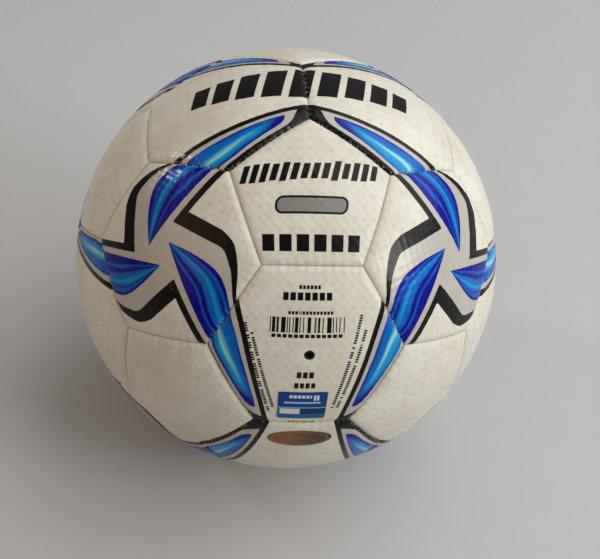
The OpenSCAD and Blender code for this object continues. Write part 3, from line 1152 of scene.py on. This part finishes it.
def oval_material():
    """Brown-gold foil, darker to one side, with a fine border."""
    paint = Paint("gold_oval_foil")
    x, y, _ = paint.attribute("panel_place")
    squares = [(part / (size / 2)).math("POWER", 2.0) for part, size in zip((x, y), OVAL_SIZE)]
    round_share = (squares[0] + squares[1]).math("SQRT")
    grain = paint.noise(500, 4, 0.6)
    level = (x / -OVAL_SIZE[0] + 0.5 + (grain - 0.5) * 0.3).clamped()
    colour = paint.ramp(level, [
        (0.0, srgb(96, 56, 6)), (0.3, srgb(132, 82, 16)), (0.7, srgb(80, 48, 14)), (1.0, srgb(44, 28, 12)),
    ])
    colour = paint.mix(round_share.within(0.88, 0.035).step(0.02) * 0.35, colour, srgb(190, 132, 70))
    return paint.finish(colour, paint.bump(grain, 0.15, 0.0001), grain * 0.15 + 0.3, metallic=0.3)


sticker("label_film", VALVE_AXES, (-1.0, -LABEL_DROP), LABEL_SIZE, 1 / 12, label_material(), "label_film",
        "blue_label")
sticker("oval_foil", band_frame(BAND_HEXAGONS["front_lower"]), (0, -OVAL_RISE), OVAL_SIZE, 1.0,
        oval_material(), "gold_foil", "gold_oval")


def dress(node, material):
    """Gives a CAD piece that stays its material."""
    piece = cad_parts[node]
    piece.data.materials.clear()
    piece.data.materials.append(material)


BLADDER_RUBBER = rubber_material("butyl_bladder", srgb(26, 25, 25), srgb(78, 76, 74), 0.5)
HOUSING_RUBBER = rubber_material("housing_rubber", srgb(22, 21, 21), srgb(60, 58, 56), 0.45)
dress("bladder", BLADDER_RUBBER)
dress("valve_housing", HOUSING_RUBBER)
dress("valve_patch", PATCH)


# ---- floor, light and camera

LAMPS = (
    # name, azimuth and elevation in degrees, distance, width, watts, colour
    ("window", 56, 27, 1.6, 0.55, 10.0, (1.0, 0.99, 0.95)),
    ("ceiling", 100, 52, 1.9, 2.4, 34.0, (1.0, 1.0, 0.98)),
    ("front_fill", -70, 26, 1.9, 1.3, 4.8, (1.0, 0.58, 0.24)),
    ("left_lamp", -112, 33, 1.5, 0.10, 2.0, (1.0, 0.95, 0.88)),
)

FLOOR_HALF = 20.0      # metres
ROOM_COLOURS = ((0.17, 0.096, 0.042), (0.62, 0.65, 0.66))
ROOM_STRENGTH = 0.54

CAMERA_FROM = (-8.4, 43.1)      # azimuth and elevation
CAMERA_ROLL = 6.65
CAMERA_DISTANCE = 0.487
CAMERA_LENS = 60.0
CAMERA_SHIFT = (0.0234, -0.0355)


def toward(azimuth, elevation):
    """Direction at an azimuth from the front and an elevation, in degrees."""
    a, e = math.radians(azimuth), math.radians(elevation)
    return Vector((math.sin(a) * math.cos(e), -math.cos(a) * math.cos(e), math.sin(e)))


def floor():
    """A plain pale floor under the ball."""
    paint = Paint("pale_floor")
    fibre = paint.noise(60, 5, 0.6)
    colour = paint.mix(fibre * 0.35, srgb(184, 184, 186), srgb(174, 174, 176))
    material = paint.finish(colour, paint.bump(fibre, 0.05, 0.001), 0.8)
    steps = np.linspace(-FLOOR_HALF, FLOOR_HALF, 9) * METRE
    count = len(steps)
    points = [(x, y, cad_box[0].z * METRE) for y in steps for x in steps]
    corners = [r * count + c for r in range(count - 1) for c in range(count - 1)]
    faces = [(i, i + 1, i + count + 1, i + count) for i in corners]
    new_mesh("floor", points, faces, material)


def lights():
    """Soft light from the right and above, and a dimmer, warmer room on the left."""
    for name, azimuth, elevation, distance, width, power, colour in LAMPS:
        data = bpy.data.lights.new(name, "AREA")
        data.energy, data.size, data.color = power, width, colour
        lamp = add_object(name, data)
        direction = toward(azimuth, elevation)
        lamp.location = direction * distance
        lamp.rotation_euler = direction.to_track_quat("Z", "Y").to_euler()
    world = bpy.data.worlds.new("studio")
    world.use_nodes = True
    tree = world.node_tree
    x, y, z = split(tree.nodes.new("ShaderNodeTexCoord").outputs["Generated"])
    side = x * 0.62 + y * 0.25 + z * 0.75
    ramp = tree.nodes.new("ShaderNodeValToRGB")
    for element, colour in zip(ramp.color_ramp.elements, ROOM_COLOURS):
        element.color = (*colour, 1.0)
    feed((side * 0.5 + 0.45).clamped(), ramp.inputs[0])
    background = tree.nodes["Background"]
    feed(ramp.outputs[0], background.inputs["Color"])
    feed(ROOM_STRENGTH, background.inputs["Strength"])
    bpy.context.scene.world = world
    bpy.context.scene.view_settings.view_transform = "Standard"


def camera():
    """From above the front, a little to the left, turned slightly about its own line of sight."""
    back = toward(*CAMERA_FROM)
    roll = math.radians(CAMERA_ROLL)
    right = (-back).cross(Vector((0, 0, 1))).normalized()
    up = right.cross(-back)
    right, up = right * math.cos(roll) + up * math.sin(roll), up * math.cos(roll) - right * math.sin(roll)
    data = bpy.data.cameras.new("camera")
    data.lens = CAMERA_LENS
    data.shift_x, data.shift_y = CAMERA_SHIFT
    data.clip_start = 0.01
    made = add_object("camera", data)
    turn = Matrix((right, up, back)).transposed().to_4x4()
    made.matrix_world = Matrix.Translation(back * CAMERA_DISTANCE) @ turn
    bpy.context.scene.camera = made


floor()
lights()
camera()
